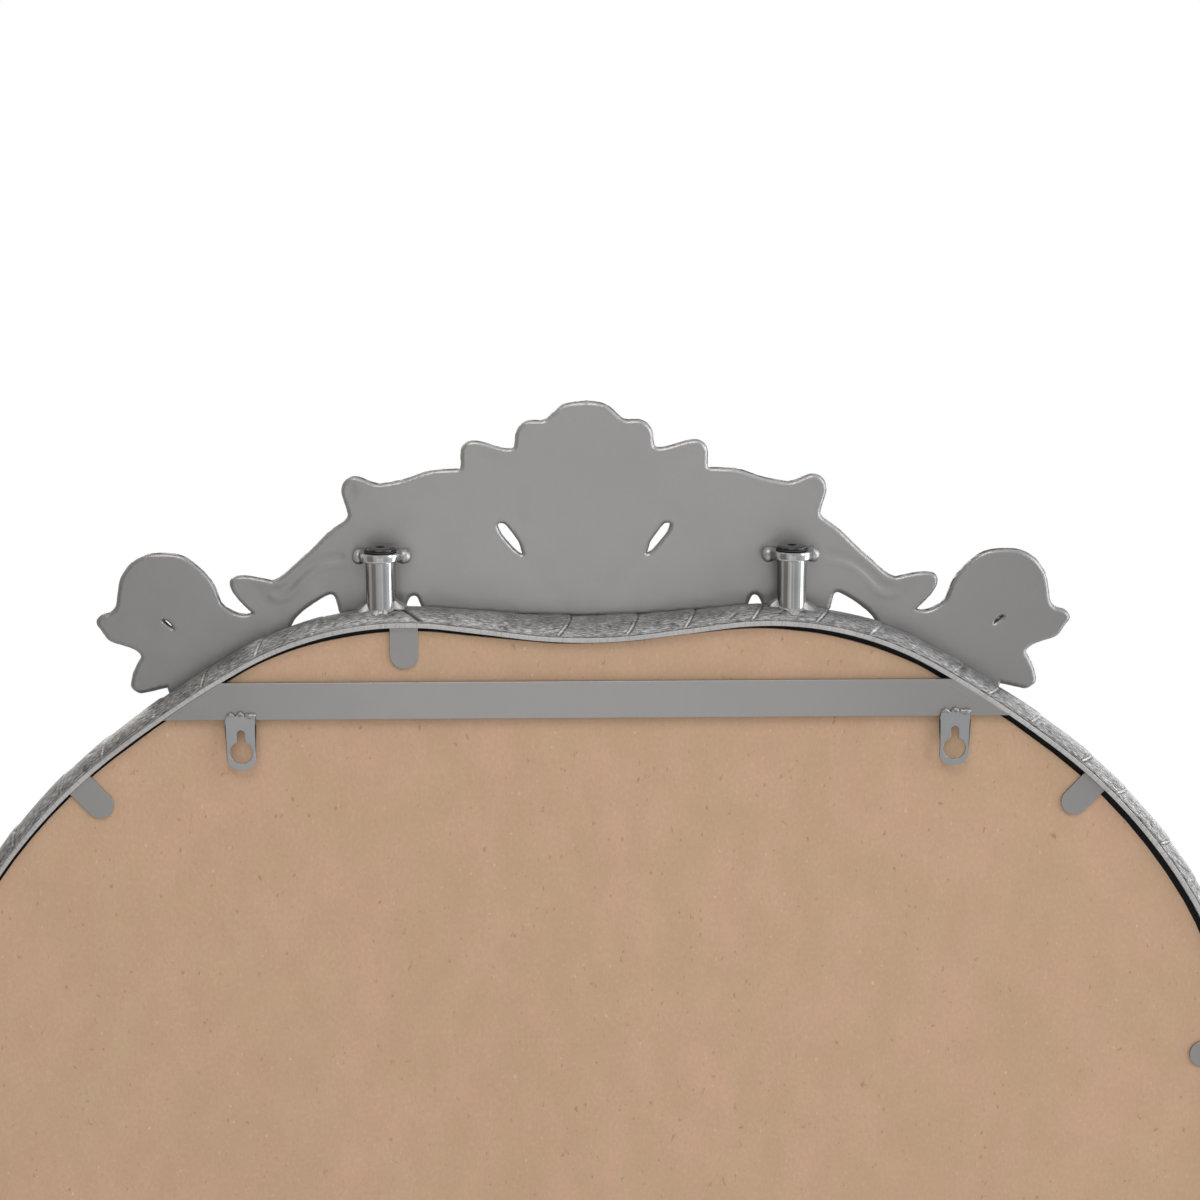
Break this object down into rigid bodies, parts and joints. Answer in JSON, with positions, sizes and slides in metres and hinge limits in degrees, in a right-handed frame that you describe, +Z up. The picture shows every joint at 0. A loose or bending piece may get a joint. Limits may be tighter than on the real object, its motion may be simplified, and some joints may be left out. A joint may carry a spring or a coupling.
{
  "type": "arched full-length wall mirror",
  "caption": "Tall arched wall mirror in an antique silver frame with an ornate bolt-on crest, boarded back, crossbar and keyhole hangers.",
  "frame": {"origin": "midway between the two keyhole entry holes, on the back plane of the frame's rim", "axes": "+Z up, +Y towards the wall, the glass faces -Y, +X to the right as seen from the front"},
  "size_m": [0.7796, 0.0445, 1.73],
  "materials": {
    "antique_silver": "antique brushed silver, dark in the hollows",
    "rim_metal": "smooth pale satin metal",
    "mirror": "silvered looking glass with a polished edge",
    "fibreboard": "bare tan fibreboard with small flecks",
    "black_foam": "matt black foam strip",
    "bar_steel": "satin grey steel",
    "hanger_steel": "stamped grey steel with brighter edges",
    "weld_metal": "rough bright weld metal",
    "crest_metal": "satin grey casting, antique silver on its front",
    "turned_steel": "turned and polished",
    "black_rubber": "matt black",
    "black_screw": "glossy black"
  },
  "bodies": {
    "root": {"frame_moulding": "antique_silver", "rebate_rim": "rim_metal", "mirror_glass": "mirror", "backing_board": "fibreboard", "edge_packing": "black_foam", "crossbar": "bar_steel", "crossbar_weld_left": "bar_steel", "crossbar_weld_right": "bar_steel", "keyhole_hanger_left": "hanger_steel", "keyhole_hanger_right": "hanger_steel", "hanger_welds_left": "weld_metal", "hanger_welds_right": "weld_metal", "retaining_tab_top": "bar_steel", "retaining_tab_upper_left": "bar_steel", "retaining_tab_upper_right": "bar_steel", "retaining_tabs_left": "bar_steel", "retaining_tabs_right": "bar_steel", "retaining_tabs_bottom": "bar_steel", "post_left": "turned_steel", "post_right": "turned_steel", "post_foot_welds_left": "weld_metal", "post_foot_welds_right": "weld_metal"},
    "crest": {"crest": "crest_metal", "crest_lug_left": "turned_steel", "crest_lug_right": "turned_steel", "lug_welds_left": "weld_metal", "lug_welds_right": "weld_metal", "screw_washer_left": "black_rubber", "screw_washer_right": "black_rubber"},
    "screw_left": {"crest_screw_left": "black_screw"},
    "screw_right": {"crest_screw_right": "black_screw"}
  },
  "joints": [
    {"name": "crest_lift", "type": "slide", "parent": "root", "child": "crest", "axis": [0, 0, 1], "range_m": [0, 0.02]},
    {"name": "screw_left_turn", "type": "hinge", "parent": "crest", "child": "screw_left", "pos_m": [0.123, -0.0138, 0.114], "axis": [0, 0, 1], "continuous": true},
    {"name": "screw_right_turn", "type": "hinge", "parent": "crest", "child": "screw_right", "pos_m": [-0.11, -0.0138, 0.114], "axis": [0, 0, 1], "continuous": true}
  ]
}
